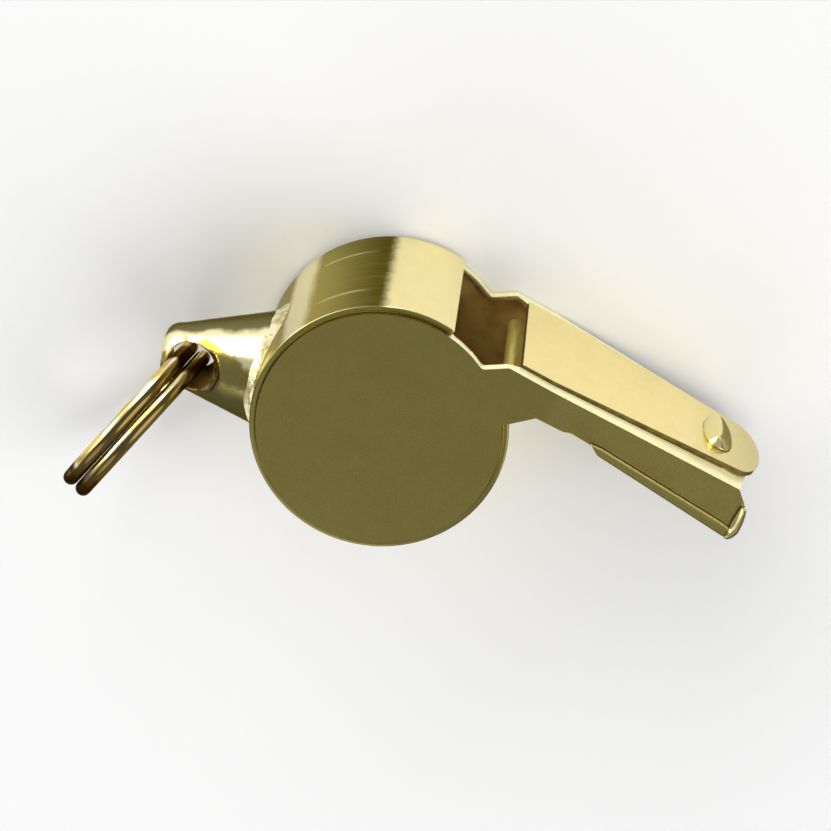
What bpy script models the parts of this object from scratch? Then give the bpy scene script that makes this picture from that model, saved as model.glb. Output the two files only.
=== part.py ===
"""Brass pea whistle, lying on its back side plate.

The barrel is a band lapped over two pressed side plates. Their arms carry the mouthpiece: a top plate
with a bite lug, a windway floor and a lower channel. A drilled boss on the barrel holds a split ring,
and a cork pea runs round inside the chamber.

X points to the mouth, Y to the sound window and Z across the whistle. The barrel axis is X = Y = 0 and
the back plate's outer face is Z = 0. All lengths are in metres.
"""

import math

import bmesh
import bpy
from mathutils import Vector

MM = 0.001

# Barrel and its band
BARREL_RADIUS = 10.5 * MM
BAND_WALL = 0.45 * MM
BAND_WIDTH = 16.6 * MM
BAND_EDGE_ROUND = 0.14 * MM
LIP_ANGLE = math.radians(83.5)
THROAT_ANGLE = math.radians(33.0)

# Pressed side plates, with a rim turned in all round except under the arm
PLATE_SHEET = 0.35 * MM
PLATE_BEND = 0.42 * MM
PLATE_PROUD = 0.45 * MM
RIM_DEPTH = 1.5 * MM
WINDOW_RIM_DEPTH = 0.95 * MM
LAP_GAP = 0.1 * MM
SEAM_GAP = 0.06 * MM

# Arms of the side plates, set out from the top and the mouth side of the barrel
ARM_DROP = 0.45 * MM
ARM_BEND_INSET = 0.1 * MM
ARM_LENGTH = 18.8 * MM
ARM_TAPER = 0.104
FLANGE_TAPER = 0.13
WINDOW_EDGE_RUN = 2.95 * MM
SHOULDER_RUN = 1.05 * MM
SHOULDER_ANGLE = math.radians(62.5)
THROAT_DROP = 2.65 * MM
THROAT_RUN = 2.5 * MM
STEP_RUN = 0.7 * MM
NOSE_RUN = 1.2 * MM
NOSE_DROP = 1.35 * MM

# Top plate and bite lug
TOP_SHEET = 0.5 * MM
TOP_PROUD = 0.28 * MM
TOP_TILT = math.radians(0.75)
TOP_OVERHANG = 0.35 * MM
TOP_NOSE_LENGTH = 2.3 * MM
TOP_EDGE_ROUND = 0.08 * MM
LUG_LENGTH = 2.7 * MM
LUG_WIDTH = 6.0 * MM
LUG_HEIGHT = 0.8 * MM
LUG_SETBACK = 5.4 * MM
LUG_RIDGE_LENGTH = 0.3 * MM
LUG_RIDGE_WIDTH = 4.4 * MM
LUG_RIDGE_PLACE = 1.25 * MM
LUG_ROUND = 0.14 * MM

# Windway floor
FLOOR_SHEET = 0.45 * MM
FLOOR_NOSE_RADIUS = 0.45 * MM
FLOOR_TURN_ANGLE = math.radians(44.0)
FLOOR_SLOPE = 0.048

# Lower channel
CHANNEL_SHEET = 0.3 * MM
CHANNEL_BEND = 0.36 * MM
CHANNEL_SETBACK = 1.7 * MM
CHANNEL_DROP = 3.0 * MM
CHANNEL_SLOPE = 0.1105
CHANNEL_OVERHANG = 0.8 * MM
CHANNEL_LIP_RUN = 0.6 * MM
LEDGE_SETBACK = 1.4 * MM
LEDGE_RISE = 1.04 * MM
CHEEK_SETBACK = 0.75 * MM
CHEEK_DROP = 1.45 * MM

# Ring boss
BOSS_ANGLE = math.radians(200.0)
BOSS_LENGTH = 8.15 * MM
BOSS_TIP_ROUND = 1.3 * MM
BOSS_FOOT_RADIUS = 4.7 * MM
BOSS_SLOPE = 0.312
BOSS_SINK = 2.1 * MM
HOLE_SETBACK = 2.55 * MM
HOLE_RADIUS = 1.95 * MM
HOLE_COUNTERSINK = 0.45 * MM
FILLET_HEIGHT = 1.2 * MM
FILLET_SPREAD = 0.7 * MM
FILLET_EDGE = 0.16 * MM

# Split ring
RING_OUTER = 16.0 * MM
RING_WIRE = 1.1 * MM
RING_COIL_GAP = 0.46 * MM
RING_DROP = 0.12 * MM
RING_HEADING = math.radians(258.8)
RING_LEAN = math.radians(9.57)
RING_LAP = math.radians(300.0)
RING_START = math.radians(300.0)
RING_LOOP_POINTS = 24

# Cork pea
PEA_RADIUS = 4.9 * MM
PEA_HEADING = math.radians(230.0)
PEA_CLEARANCE = 0.3 * MM

# Fineness of round stretches
ARC_STEP = math.radians(4.0)
SMALL_ARC_STEP = math.radians(16.0)
SHARP_ANGLE = math.radians(35.0)
BEND_ANGLE = math.radians(70.0)
EDGE_ANGLE = math.radians(20.0)
BEND_STEPS = 3
EDGE_STEPS = 2
TIP_STEPS = 6
NOSE_STEPS = 20
TURN_STEPS = 48
PEA_SEGMENTS = 28
PEA_RINGS = 18

# Barrel sizes that follow from the ones above
WIDTH = BAND_WIDTH + 2 * PLATE_PROUD
MIDDLE = WIDTH / 2
BAND_INNER = BARREL_RADIUS - BAND_WALL
RIM_RADIUS = BAND_INNER - LAP_GAP

# Places along the mouthpiece that follow from the ones above
ARM_TOP = BARREL_RADIUS - ARM_DROP
ARM_BEND_X = BARREL_RADIUS - ARM_BEND_INSET
ARM_NOSE_X = ARM_BEND_X + ARM_LENGTH
ARM_END_X = ARM_NOSE_X - NOSE_RUN
WINDOW_EDGE_X = ARM_BEND_X - WINDOW_EDGE_RUN
THROAT_END_X = ARM_BEND_X + THROAT_RUN
STEP_END_X = THROAT_END_X + STEP_RUN
TOP_LENGTH = ARM_NOSE_X + TOP_OVERHANG - WINDOW_EDGE_X
CHANNEL_START_X = STEP_END_X + CHANNEL_SETBACK
CHANNEL_FRONT_X = ARM_NOSE_X + CHANNEL_OVERHANG
CHANNEL_END_X = CHANNEL_FRONT_X - CHANNEL_LIP_RUN
LEDGE_END_X = CHANNEL_END_X - LEDGE_SETBACK

# Places along the boss that follow from the ones above
BOSS_TIP = BARREL_RADIUS + BOSS_LENGTH
BOSS_ROOT = BARREL_RADIUS - BOSS_SINK
BOSS_APEX = BARREL_RADIUS + BOSS_FOOT_RADIUS / BOSS_SLOPE
HOLE_PLACE = BOSS_TIP - HOLE_SETBACK
HOLE_CENTRE = Vector((HOLE_PLACE * math.cos(BOSS_ANGLE), HOLE_PLACE * math.sin(BOSS_ANGLE), MIDDLE))


def clear_scene():
    for item in list(bpy.data.objects):
        bpy.data.objects.remove(item, do_unlink=True)


def new_collection(name):
    group = bpy.data.collections.new(name)
    bpy.context.scene.collection.children.link(group)
    return group


def new_material(name, colour, roughness, metallic):
    material = bpy.data.materials.new(name)
    material.use_nodes = True
    shader = material.node_tree.nodes["Principled BSDF"]
    shader.inputs["Base Color"].default_value = (*colour, 1.0)
    shader.inputs["Roughness"].default_value = roughness
    shader.inputs["Metallic"].default_value = metallic
    return material


def new_object(name, data, group, material=None, parent=None):
    item = bpy.data.objects.new(name, data)
    group.objects.link(item)
    if material:
        data.materials.append(material)
    item.parent = parent
    return item


def sheet_mesh(shape, name):
    """Turn a finished bmesh into smooth-shaded mesh data, its faces left as they point."""
    mesh = bpy.data.meshes.new(name)
    shape.to_mesh(mesh)
    shape.free()
    mesh.shade_smooth()
    return mesh


def solid_mesh(shape, name):
    """Turn a finished bmesh into mesh data with matching faces and its sharp corners kept."""
    bmesh.ops.recalc_face_normals(shape, faces=shape.faces)
    mesh = sheet_mesh(shape, name)
    mesh.set_sharp_from_angle(angle=SHARP_ANGLE)
    return mesh


def thicken(item, thickness):
    """Give an open sheet its thickness, on the side away from its normals."""
    shell = item.modifiers.new("sheet", "SOLIDIFY")
    shell.thickness = thickness
    shell.offset = -1.0
    shell.use_even_offset = True


def round_edges(item, width, segments, sharper_than):
    bevel = item.modifiers.new("round", "BEVEL")
    bevel.width = width
    bevel.segments = segments
    bevel.limit_method = "ANGLE"
    bevel.angle_limit = sharper_than


def cut(item, cutter):
    boolean = item.modifiers.new("cut", "BOOLEAN")
    boolean.operation = "DIFFERENCE"
    boolean.solver = "EXACT"
    boolean.object = cutter


def arc(radius, start, end, centre=(0.0, 0.0), step=ARC_STEP):
    """Points on a circle from one angle to another, both ends included."""
    count = max(2, round(abs(end - start) / step))
    angles = [start + (end - start) * index / count for index in range(count + 1)]
    return [(centre[0] + radius * math.cos(a), centre[1] + radius * math.sin(a)) for a in angles]


def polar(radius, angle):
    return radius * math.cos(angle), radius * math.sin(angle)


def arm_half_width(x):
    """Half the width over the arms' outer faces at a place along the mouthpiece."""
    return MIDDLE - ARM_TAPER * max(0.0, x - ARM_BEND_X)


def flange_half_width(x):
    """Half the clear width between the arms' turned-in top flanges."""
    return MIDDLE - RIM_DEPTH - FLANGE_TAPER * max(0.0, x - ARM_BEND_X)


def channel_bottom(x):
    """Height of the lower channel's outer face."""
    return ARM_TOP - CHANNEL_DROP - CHANNEL_SLOPE * (x - CHANNEL_START_X)


def arm_bottom(x):
    """Height of an arm's lower edge where it stands in the channel."""
    return channel_bottom(x) + CHANNEL_SHEET + LAP_GAP


def plate_outline():
    """Corners of a side plate, each with the depth of the rim that is turned in there."""
    throat_y = ARM_TOP - THROAT_DROP
    barrel = arc(RIM_RADIUS, LIP_ANGLE, THROAT_ANGLE + 2 * math.pi)
    arm_under = [
        (ARM_BEND_X, throat_y),
        (THROAT_END_X, throat_y),
        (STEP_END_X, arm_bottom(STEP_END_X)),
        (ARM_NOSE_X, arm_bottom(ARM_NOSE_X)),
        (ARM_NOSE_X, ARM_TOP - NOSE_DROP),
    ]
    arm_top = [(ARM_END_X, ARM_TOP), (WINDOW_EDGE_X, ARM_TOP)]
    shoulder = [(WINDOW_EDGE_X - SHOULDER_RUN, ARM_TOP)]
    window = shoulder + arc(RIM_RADIUS, SHOULDER_ANGLE, LIP_ANGLE)[:-1]
    corners = barrel + arm_under + arm_top + window
    depths = [RIM_DEPTH] * len(barrel) + [0.0] * len(arm_under)
    depths += [RIM_DEPTH] * len(arm_top) + [WINDOW_RIM_DEPTH] * len(window)
    return corners, depths


def side_plate(name, face_z, inward, group, material):
    """A pressed plate: flat disc and arm in one sheet, its rim and arm top turned in."""
    corners, depths = plate_outline()
    shape = bmesh.new()
    rim_depth = shape.verts.layers.float.new("rim_depth")
    outline = []
    for (x, y), depth in zip(corners, depths):
        vert = shape.verts.new((x, y, face_z))
        vert[rim_depth] = depth
        outline.append(vert)
    shape.faces.new(outline)
    rim_edges = []
    for vert, following in zip(outline, outline[1:] + outline[:1]):
        if vert[rim_depth] and following[rim_depth]:
            rim_edges.append(shape.edges.get((vert, following)))
    turned_in = bmesh.ops.extrude_edge_only(shape, edges=rim_edges)["geom"]
    for element in turned_in:
        if isinstance(element, bmesh.types.BMVert):
            element.co.z += inward * element[rim_depth]
    everything = shape.verts[:] + shape.edges[:] + shape.faces[:]
    bmesh.ops.bisect_plane(shape, geom=everything, plane_co=(ARM_BEND_X, 0, 0), plane_no=(1, 0, 0))
    for vert in shape.verts:
        run = max(0.0, vert.co.x - ARM_BEND_X)
        depth = abs(vert.co.z - face_z) / RIM_DEPTH
        vert.co.z += inward * run * (ARM_TAPER + (FLANGE_TAPER - ARM_TAPER) * depth)
    bmesh.ops.recalc_face_normals(shape, faces=shape.faces)
    largest = max(shape.faces, key=lambda face: face.calc_area())
    if largest.normal.z * inward > 0:
        bmesh.ops.reverse_faces(shape, faces=shape.faces)
    plate = new_object(name, sheet_mesh(shape, name), group, material)
    round_edges(plate, PLATE_BEND, BEND_STEPS, BEND_ANGLE)
    thicken(plate, PLATE_SHEET)


def strip(name, points, half_width, group, material):
    """A sheet that follows a side-view line, reaching as far each way as half_width says."""
    shape = bmesh.new()
    rows = []
    for x, y in points:
        reach = half_width(x)
        rows.append([shape.verts.new((x, y, MIDDLE + side * reach)) for side in (-1, 1)])
    for first, second in zip(rows, rows[1:]):
        shape.faces.new((first[0], first[1], second[1], second[0]))
    return new_object(name, sheet_mesh(shape, name), group, material)


def barrel_band(group, material):
    points = arc(BARREL_RADIUS, THROAT_ANGLE + 2 * math.pi, LIP_ANGLE)
    band = strip("barrel_band", points, lambda x: BAND_WIDTH / 2, group, material)
    thicken(band, BAND_WALL)
    round_edges(band, BAND_EDGE_ROUND, EDGE_STEPS, BEND_ANGLE)


def windway_floor(group, material):
    """Front wall of the chamber, rolled over at the window and run on as the windway's floor."""
    middle = BARREL_RADIUS - BAND_WALL / 2
    start = THROAT_ANGLE + (SEAM_GAP + LAP_GAP) / BARREL_RADIUS
    apron = arc(middle, start, FLOOR_TURN_ANGLE)
    nose_centre = polar(middle + FLOOR_NOSE_RADIUS, FLOOR_TURN_ANGLE)
    down = FLOOR_TURN_ANGLE + math.pi
    up = math.pi / 2 - math.atan(FLOOR_SLOPE)
    nose = arc(FLOOR_NOSE_RADIUS, down, up, nose_centre, SMALL_ARC_STEP)
    top_x, top_y = nose[-1]
    run = [(x, top_y - FLOOR_SLOPE * (x - top_x)) for x in (ARM_BEND_X, CHANNEL_START_X - LAP_GAP)]

    def half_width(x):
        return arm_half_width(x) - PLATE_SHEET - SEAM_GAP

    floor = strip("windway_floor", apron + nose[1:] + run, half_width, group, material)
    thicken(floor, FLOOR_SHEET)
    floor.modifiers["sheet"].offset = 0.0


def top_plate(group, parent, material):
    """Tapered plate let in between the arms' flanges, with a rounded mouth end."""
    nose_start = TOP_LENGTH - TOP_NOSE_LENGTH
    stations = [0.0, ARM_BEND_X - WINDOW_EDGE_X, nose_start]
    side = [(s, flange_half_width(s + WINDOW_EDGE_X) - LAP_GAP) for s in stations]
    nose_half = side[-1][1]
    nose = []
    for index in range(1, NOSE_STEPS):
        angle = math.pi / 2 - math.pi * index / NOSE_STEPS
        nose.append((nose_start + TOP_NOSE_LENGTH * math.cos(angle), nose_half * math.sin(angle)))
    outline = side + nose + [(x, -z) for x, z in reversed(side)]
    shape = bmesh.new()
    shape.faces.new([shape.verts.new((x, 0.0, z)) for x, z in outline])
    mesh = solid_mesh(shape, "mouthpiece_top_plate")
    if mesh.polygons[0].normal.y < 0:
        mesh.flip_normals()
    plate = new_object("mouthpiece_top_plate", mesh, group, material, parent)
    thicken(plate, TOP_SHEET)
    round_edges(plate, TOP_EDGE_ROUND, 1, BEND_ANGLE)


def bite_lug(group, parent, material):
    """Low tooth with a ridge across the plate, gentle on the barrel side."""
    shape = bmesh.new()
    bmesh.ops.create_cube(shape, size=1.0)
    for vert in shape.verts:
        top = vert.co.y > 0
        length = LUG_RIDGE_LENGTH if top else LUG_LENGTH
        width = LUG_RIDGE_WIDTH if top else LUG_WIDTH
        middle = LUG_RIDGE_PLACE if top else LUG_LENGTH / 2
        vert.co = Vector((middle + vert.co.x * length, LUG_HEIGHT if top else 0.0, vert.co.z * width))
    lug = new_object("bite_lug", solid_mesh(shape, "bite_lug"), group, material, parent)
    lug.location = (TOP_LENGTH - LUG_SETBACK, SEAM_GAP, 0.0)
    round_edges(lug, LUG_ROUND, EDGE_STEPS, EDGE_ANGLE)


def lower_channel(group, material):
    """Channel lapped over the arms' lower edges, with raised cheeks at the mouth."""
    bottom = [(x, channel_bottom(x)) for x in (CHANNEL_START_X, CHANNEL_END_X)]
    cheek = [
        (CHANNEL_FRONT_X, channel_bottom(CHANNEL_END_X) + CHANNEL_LIP_RUN),
        (CHANNEL_FRONT_X - CHEEK_SETBACK, ARM_TOP - CHEEK_DROP),
        (LEDGE_END_X, channel_bottom(LEDGE_END_X) + LEDGE_RISE),
        (CHANNEL_START_X, channel_bottom(CHANNEL_START_X) + CHANNEL_SHEET + CHANNEL_BEND),
    ]
    shape = bmesh.new()
    walls = []
    for side in (-1, 1):
        wall = []
        for x, y in bottom + cheek:
            reach = arm_half_width(x) + LAP_GAP + CHANNEL_SHEET
            wall.append(shape.verts.new((x, y, MIDDLE + side * reach)))
        shape.faces.new(wall)
        walls.append(wall)
    back, front = walls
    shape.faces.new((back[0], front[0], front[1], back[1]))
    channel = new_object("mouthpiece_channel", solid_mesh(shape, "mouthpiece_channel"), group, material)
    round_edges(channel, CHANNEL_BEND, BEND_STEPS, BEND_ANGLE)
    thicken(channel, CHANNEL_SHEET)


def turned(name, profile, group, material=None, closed=False):
    """A turned solid from a radius and height profile that runs down its outer side."""
    mesh = bpy.data.meshes.new(name)
    count = len(profile)
    edges = [(index, index + 1) for index in range(count - 1)]
    if closed:
        edges.append((count - 1, 0))
    mesh.from_pydata([(radius, 0.0, height) for radius, height in profile], edges, [])
    item = new_object(name, mesh, group, material)
    screw = item.modifiers.new("turn", "SCREW")
    screw.steps = TURN_STEPS
    screw.render_steps = TURN_STEPS
    screw.use_merge_vertices = True
    screw.merge_threshold = 0.00001
    screw.use_smooth_shade = True
    return item


def as_cutter(item):
    item.hide_render = True
    item.display_type = "WIRE"
    return item


def boss_radius(reach):
    """Radius of the boss at a distance from the barrel axis."""
    return BOSS_SLOPE * (BOSS_APEX - reach)


def barrel_cutter(group):
    radius = BARREL_RADIUS + SEAM_GAP
    profile = [(0.0, WIDTH), (radius, WIDTH), (radius, 0.0), (0.0, 0.0)]
    item = as_cutter(turned("barrel_cutter", profile, group))
    item.modifiers["turn"].steps = 2 * TURN_STEPS
    item.modifiers["turn"].render_steps = 2 * TURN_STEPS
    return item


def hole_cutter(group):
    """Drill for the ring's hole, flared where it leaves the boss on either side."""
    surface = boss_radius(HOLE_PLACE)
    mouth = HOLE_RADIUS + HOLE_COUNTERSINK
    clear = 2 * surface
    flare = [(0.0, clear), (mouth, clear), (mouth, surface), (HOLE_RADIUS, surface - HOLE_COUNTERSINK)]
    profile = flare + [(radius, -height) for radius, height in reversed(flare)]
    item = as_cutter(turned("hole_cutter", profile, group))
    item.location = HOLE_CENTRE
    return item


def ring_boss(group, cutters, material):
    """Cone with a rounded tip, hollowed to sit on the barrel and drilled across for the ring."""
    shoulder = BOSS_TIP - BOSS_TIP_ROUND
    crown = boss_radius(shoulder) - BOSS_TIP_ROUND
    tip = [(0.0, BOSS_TIP)]
    for index in range(TIP_STEPS):
        angle = math.pi / 2 * index / TIP_STEPS
        tip.append((crown + BOSS_TIP_ROUND * math.sin(angle), shoulder + BOSS_TIP_ROUND * math.cos(angle)))
    cone = [(boss_radius(shoulder), shoulder), (boss_radius(BOSS_ROOT), BOSS_ROOT), (0.0, BOSS_ROOT)]
    boss = turned("ring_boss", tip + cone, group, material)
    boss.rotation_euler = (0.0, math.pi / 2, BOSS_ANGLE)
    boss.location.z = MIDDLE
    for cutter in cutters:
        cut(boss, cutter)


def boss_fillet(group, cutter, material):
    """Collar of hard solder flowed round the boss's foot."""
    top = BARREL_RADIUS + FILLET_HEIGHT
    outer = []
    for index in range(TIP_STEPS + 1):
        share = index / TIP_STEPS
        reach = top - FILLET_HEIGHT * share
        spread = FILLET_EDGE + FILLET_SPREAD * share ** 2
        outer.append((boss_radius(reach) + SEAM_GAP + spread, reach))
    outer.append((boss_radius(BOSS_ROOT) + SEAM_GAP + FILLET_EDGE + FILLET_SPREAD, BOSS_ROOT))
    inner = [(boss_radius(reach) + SEAM_GAP, reach) for reach in (BOSS_ROOT, top)]
    collar = turned("boss_solder_fillet", outer + inner, group, material, closed=True)
    collar.rotation_euler = (0.0, math.pi / 2, BOSS_ANGLE)
    collar.location.z = MIDDLE
    cut(collar, cutter)


def ring_path():
    """Centre line of the split ring: two flat laps joined by one step across."""
    radius = (RING_OUTER - RING_WIRE) / 2
    centre = radius + RING_DROP
    pitch = RING_WIRE + RING_COIL_GAP
    cross = 2 * math.pi - RING_LAP
    total = 2 * RING_LAP + cross
    count = round(total / (2 * math.pi) * RING_LOOP_POINTS)
    path = []
    for index in range(count + 1):
        turn = total * index / count
        share = min(1.0, max(0.0, (turn - RING_LAP) / cross))
        side = share * share * (3 - 2 * share) - 0.5
        angle = RING_START + turn
        path.append(Vector((centre + radius * math.cos(angle), radius * math.sin(angle), pitch * side)))
    return path


def least_coil_gap(path):
    """Smallest space between laps, measured on points half a loop or more apart."""
    apart = round(RING_LOOP_POINTS / 2)
    gaps = []
    for index, point in enumerate(path):
        for other in path[index + apart:]:
            gaps.append((other - point).length - RING_WIRE)
    return min(gaps)


def split_ring(group, parent, material):
    path = ring_path()
    print("split ring least gap, mm:", round(least_coil_gap(path) / MM, 3))
    data = bpy.data.curves.new("split_ring", "CURVE")
    data.dimensions = "3D"
    data.bevel_depth = RING_WIRE / 2
    data.bevel_resolution = 1
    data.use_fill_caps = True
    wire = data.splines.new("POLY")
    wire.points.add(len(path) - 1)
    for knot, place in zip(wire.points, path):
        knot.co = (*place, 1.0)
    ring = new_object("split_ring", data, group, material, parent)
    ring.rotation_euler = (math.pi / 2 + RING_LEAN, 0.0, RING_HEADING)


def cork_pea(group, parent, material):
    shape = bmesh.new()
    bmesh.ops.create_uvsphere(shape, u_segments=PEA_SEGMENTS, v_segments=PEA_RINGS, radius=PEA_RADIUS)
    pea = new_object("cork_pea", solid_mesh(shape, "cork_pea"), group, material, parent)
    orbit = RIM_RADIUS - PLATE_SHEET - PEA_RADIUS - PEA_CLEARANCE
    x, y = polar(orbit, PEA_HEADING)
    pea.location = (x, y, PLATE_SHEET + PEA_RADIUS + PEA_CLEARANCE)


def new_axis(name, group, location):
    axis = new_object(name, None, group)
    axis.location = location
    return axis


def main():
    clear_scene()
    whistle = new_collection("pea_whistle")
    cutters = new_collection("cutters")
    brass = new_material("polished_brass", (0.62, 0.50, 0.17), 0.28, 1.0)
    satin = new_material("satin_brass", (0.40, 0.34, 0.12), 0.40, 1.0)
    solder = new_material("brazing_brass", (0.68, 0.52, 0.18), 0.34, 1.0)
    wire = new_material("ring_brass", (0.66, 0.50, 0.16), 0.22, 1.0)
    cork = new_material("cork", (0.45, 0.29, 0.15), 0.85, 0.0)

    side_plate("front_side_plate", WIDTH, -1, whistle, satin)
    side_plate("back_side_plate", 0.0, 1, whistle, satin)
    barrel_band(whistle, brass)
    windway_floor(whistle, brass)
    lower_channel(whistle, satin)

    top_seat = new_axis("top_plate_seat", whistle, (WINDOW_EDGE_X, ARM_TOP + TOP_PROUD, MIDDLE))
    top_seat.rotation_euler.z = TOP_TILT
    top_plate(whistle, top_seat, brass)
    bite_lug(whistle, top_seat, brass)

    barrel = barrel_cutter(cutters)
    hole = hole_cutter(cutters)
    ring_boss(whistle, (barrel, hole), brass)
    boss_fillet(whistle, barrel, solder)

    ring_axis = new_axis("ring_swing_axis", whistle, HOLE_CENTRE)
    split_ring(whistle, ring_axis, wire)
    pea_axis = new_axis("pea_orbit_axis", whistle, (0.0, 0.0, 0.0))
    cork_pea(whistle, pea_axis, cork)


main()
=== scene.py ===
"""Looks of the brass pea whistle: rounded sheet metal, a turned boss in flowed solder, a wound split
ring and a cork pea, lit by softboxes on a pale floor. All lengths are in metres."""

import math

import bmesh
import bpy
from mathutils import Euler, Matrix, Vector, noise


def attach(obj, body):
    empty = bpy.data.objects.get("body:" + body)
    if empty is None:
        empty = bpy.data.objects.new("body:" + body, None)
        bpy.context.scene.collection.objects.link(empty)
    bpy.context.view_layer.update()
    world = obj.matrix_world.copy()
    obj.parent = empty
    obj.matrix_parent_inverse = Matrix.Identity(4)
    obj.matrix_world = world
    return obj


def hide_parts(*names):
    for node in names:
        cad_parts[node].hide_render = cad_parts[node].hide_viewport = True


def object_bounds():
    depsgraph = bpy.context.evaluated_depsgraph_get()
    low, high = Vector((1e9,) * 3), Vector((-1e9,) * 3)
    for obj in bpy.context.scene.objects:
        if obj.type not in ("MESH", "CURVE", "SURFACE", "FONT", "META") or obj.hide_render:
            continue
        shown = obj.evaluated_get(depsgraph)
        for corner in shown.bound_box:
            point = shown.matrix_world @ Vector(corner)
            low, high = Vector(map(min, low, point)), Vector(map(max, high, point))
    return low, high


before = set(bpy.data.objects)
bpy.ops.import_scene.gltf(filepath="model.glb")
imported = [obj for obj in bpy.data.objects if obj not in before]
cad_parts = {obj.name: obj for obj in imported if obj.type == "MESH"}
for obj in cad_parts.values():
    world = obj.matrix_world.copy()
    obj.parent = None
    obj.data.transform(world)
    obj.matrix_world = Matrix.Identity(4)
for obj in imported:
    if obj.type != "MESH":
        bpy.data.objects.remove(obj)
CAD_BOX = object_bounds()

MM = 0.001

# Barrel, band and side plates
BARREL_RADIUS = 10.5 * MM
BAND_WALL = 0.53 * MM
BAND_WIDTH = 16.6 * MM
BAND_EDGE_ROUND = 0.13 * MM
LIP_ANGLE = math.radians(83.5)
THROAT_ANGLE = math.radians(33.0)
WINDOW_ANGLE = (LIP_ANGLE + THROAT_ANGLE) / 2
TOP_RIM_ANGLE = math.radians(122.0)
WIDTH = 17.5 * MM
MIDDLE = WIDTH / 2
RIM_RADIUS = 9.95 * MM
PLATE_SHEET = 0.35 * MM
PLATE_BEND = 0.38 * MM
RIM_BEND_SHARE = 0.35
CUT_EDGE_ROUND = 0.06 * MM
RIM_DEPTH = 1.5 * MM
WINDOW_RIM_DEPTH = 0.95 * MM
LAP_GAP = 0.1 * MM
SEAM_GAP = 0.06 * MM

# Arms of the side plates
ARM_TOP = 10.05 * MM
ARM_BEND_X = 10.4 * MM
ARM_BEND_RUN = 1.0 * MM
ARM_NOSE_X = 29.2 * MM
ARM_END_X = 28.0 * MM
ARM_TAPER = 0.104
FLANGE_TAPER = 0.13
FLANGE_FALL = 0.25 * MM
FLANGE_TIP_RUN = 0.65 * MM
FLANGE_TIP_LAP = 1.0 * MM
FLANGE_TIP_LEAD = 1.2 * MM
FLANGE_TIP_POINTS = 8
WINDOW_EDGE_X = 7.45 * MM
SHOULDER_X = 6.4 * MM
SHOULDER_ANGLE = math.radians(62.5)
SHOULDER_ROUND = 0.5 * MM
SHOULDER_REACH = math.radians(8.0)
THROAT_Y = 7.4 * MM
THROAT_END_X = 12.9 * MM
STEP_END_X = 13.6 * MM
NOSE_Y = 8.7 * MM

# Top plate and bite lug
TOP_SHEET = 0.5 * MM
TOP_PROUD = 0.28 * MM
TOP_TILT = math.radians(0.75)
TOP_LENGTH = 22.1 * MM
TOP_NOSE_LENGTH = 2.3 * MM
TOP_NOSE_X = WINDOW_EDGE_X + TOP_LENGTH - TOP_NOSE_LENGTH
TOP_EDGE_ROUND = 0.1 * MM
EDGE_FACING = 0.5
LUG_LENGTH = 2.7 * MM
LUG_WIDTH = 6.0 * MM
LUG_HEIGHT = 0.79 * MM
LUG_PLACE = 16.7 * MM
LUG_RIDGE_LENGTH = 0.3 * MM
LUG_RIDGE_WIDTH = 4.4 * MM
LUG_RIDGE_PLACE = 0.95 * MM
LUG_SQUARENESS = 0.75
SWELL_POWER = 0.8

# Windway floor and lower channel
FLOOR_SHEET = 0.45 * MM
FLOOR_NOSE_RADIUS = 0.45 * MM
FLOOR_TURN_ANGLE = math.radians(44.0)
FLOOR_SLOPE = 0.048
CHANNEL_SHEET = 0.3 * MM
CHANNEL_BEND = 0.36 * MM
CHANNEL_START_X = 15.3 * MM
CHANNEL_LEAD = 1.0 * MM
CHANNEL_DROP = 3.0 * MM
CHANNEL_SLOPE = 0.1105
LEDGE_END_X = 28.0 * MM
LEDGE_RISE = 1.04 * MM
LEDGE_ROUND = 0.13 * MM
CHEEK_DROP = 1.45 * MM
CHEEK_CORNER_X = 29.05 * MM
CHEEK_FRONT_X = 29.85 * MM
CHEEK_BACK_X = 28.9 * MM
CHEEK_RISE = 1.0 * MM
CHEEK_LEAN = 0.45 * MM
WELT_START = 1.0 * MM
WELT_HEIGHT = 0.36 * MM
WELT_SINK = 0.08 * MM
WELT_MATERIAL = 3

# Ring boss and its solder
BOSS_ANGLE = math.radians(200.0)
BOSS_TIP = 18.65 * MM
BOSS_TIP_ROUND = 1.3 * MM
BOSS_ROOT = 8.4 * MM
BOSS_FOOT_RADIUS = 4.7 * MM
BOSS_SLOPE = 0.312
BOSS_APEX = BARREL_RADIUS + BOSS_FOOT_RADIUS / BOSS_SLOPE
# Where the boss's painted highlight narrows most.
BOSS_WAIST = 15.2 * MM
BOSS_VOXEL = 0.1 * MM
BOSS_SMOOTHING = 6
HOLE_PLACE = 16.1 * MM
HOLE_RADIUS = 1.95 * MM
HOLE_FLARE = 0.5 * MM
HOLE_FLARE_DEPTH = 0.8 * MM
HOLE_CENTRE = Vector((HOLE_PLACE * math.cos(BOSS_ANGLE), HOLE_PLACE * math.sin(BOSS_ANGLE), MIDDLE))
FILLET_HEIGHT = 0.8075 * MM
FILLET_HEIGHT_WAVE = 0.285 * MM
FILLET_SPREAD = 0.57 * MM
FILLET_SPREAD_WAVE = 0.33 * MM
FILLET_WAVES = 2.6
FILLET_OTHER_WAVES = Vector((7.0, 3.0, 1.0))
FILLET_HOLLOW = 0.12 * MM
FILLET_SKIN = 0.02 * MM
FILLET_SINK = 0.08 * MM
FILLET_ROOT = 0.1 * MM
FOOT_ROUNDS = 20

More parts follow.
